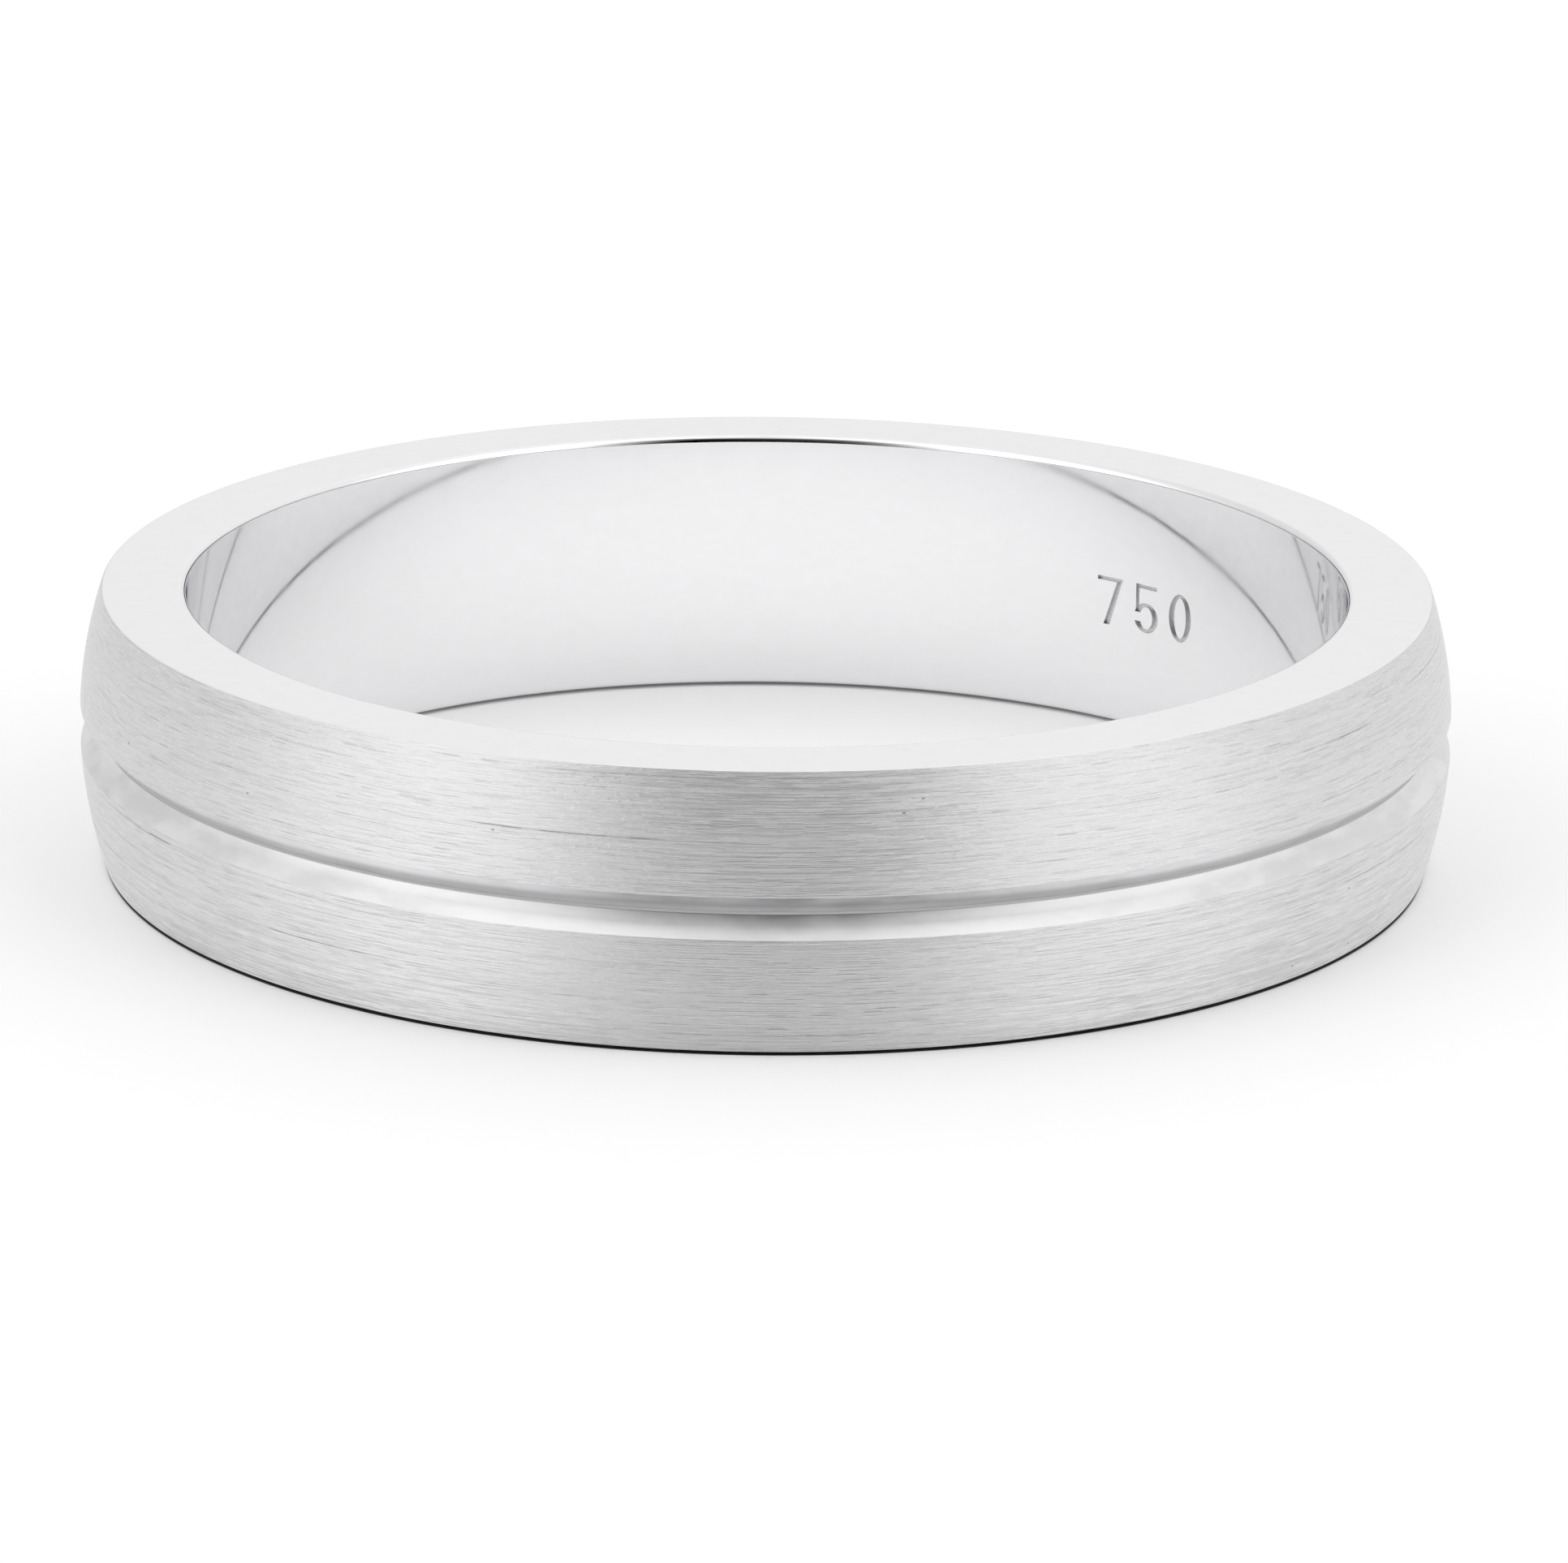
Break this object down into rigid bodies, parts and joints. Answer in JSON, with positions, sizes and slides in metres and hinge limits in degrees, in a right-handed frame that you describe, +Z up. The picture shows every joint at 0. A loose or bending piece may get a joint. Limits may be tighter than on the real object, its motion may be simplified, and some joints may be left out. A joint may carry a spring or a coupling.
{
  "type": "wedding band",
  "caption": "Gently domed finger ring with a brushed outside, one polished V groove round the middle, flat polished sides and a smooth bore with a small engraved number.",
  "frame": {"origin": "centre of the finger bore, at the middle of the band's width", "axes": "+Z along the bore; +Y away from the viewer who faces the band's front; the engraved number lies in the bore's wall between +Y and +X, and reads with +Z upwards"},
  "size_m": [0.0224, 0.0224, 0.0044],
  "materials": {
    "white_gold": "white gold: brushed round the circumference on the domed outside, mirror polished on the groove, the sides and the bore"
  },
  "bodies": {
    "root": {"band": "white_gold"}
  },
  "joints": []
}
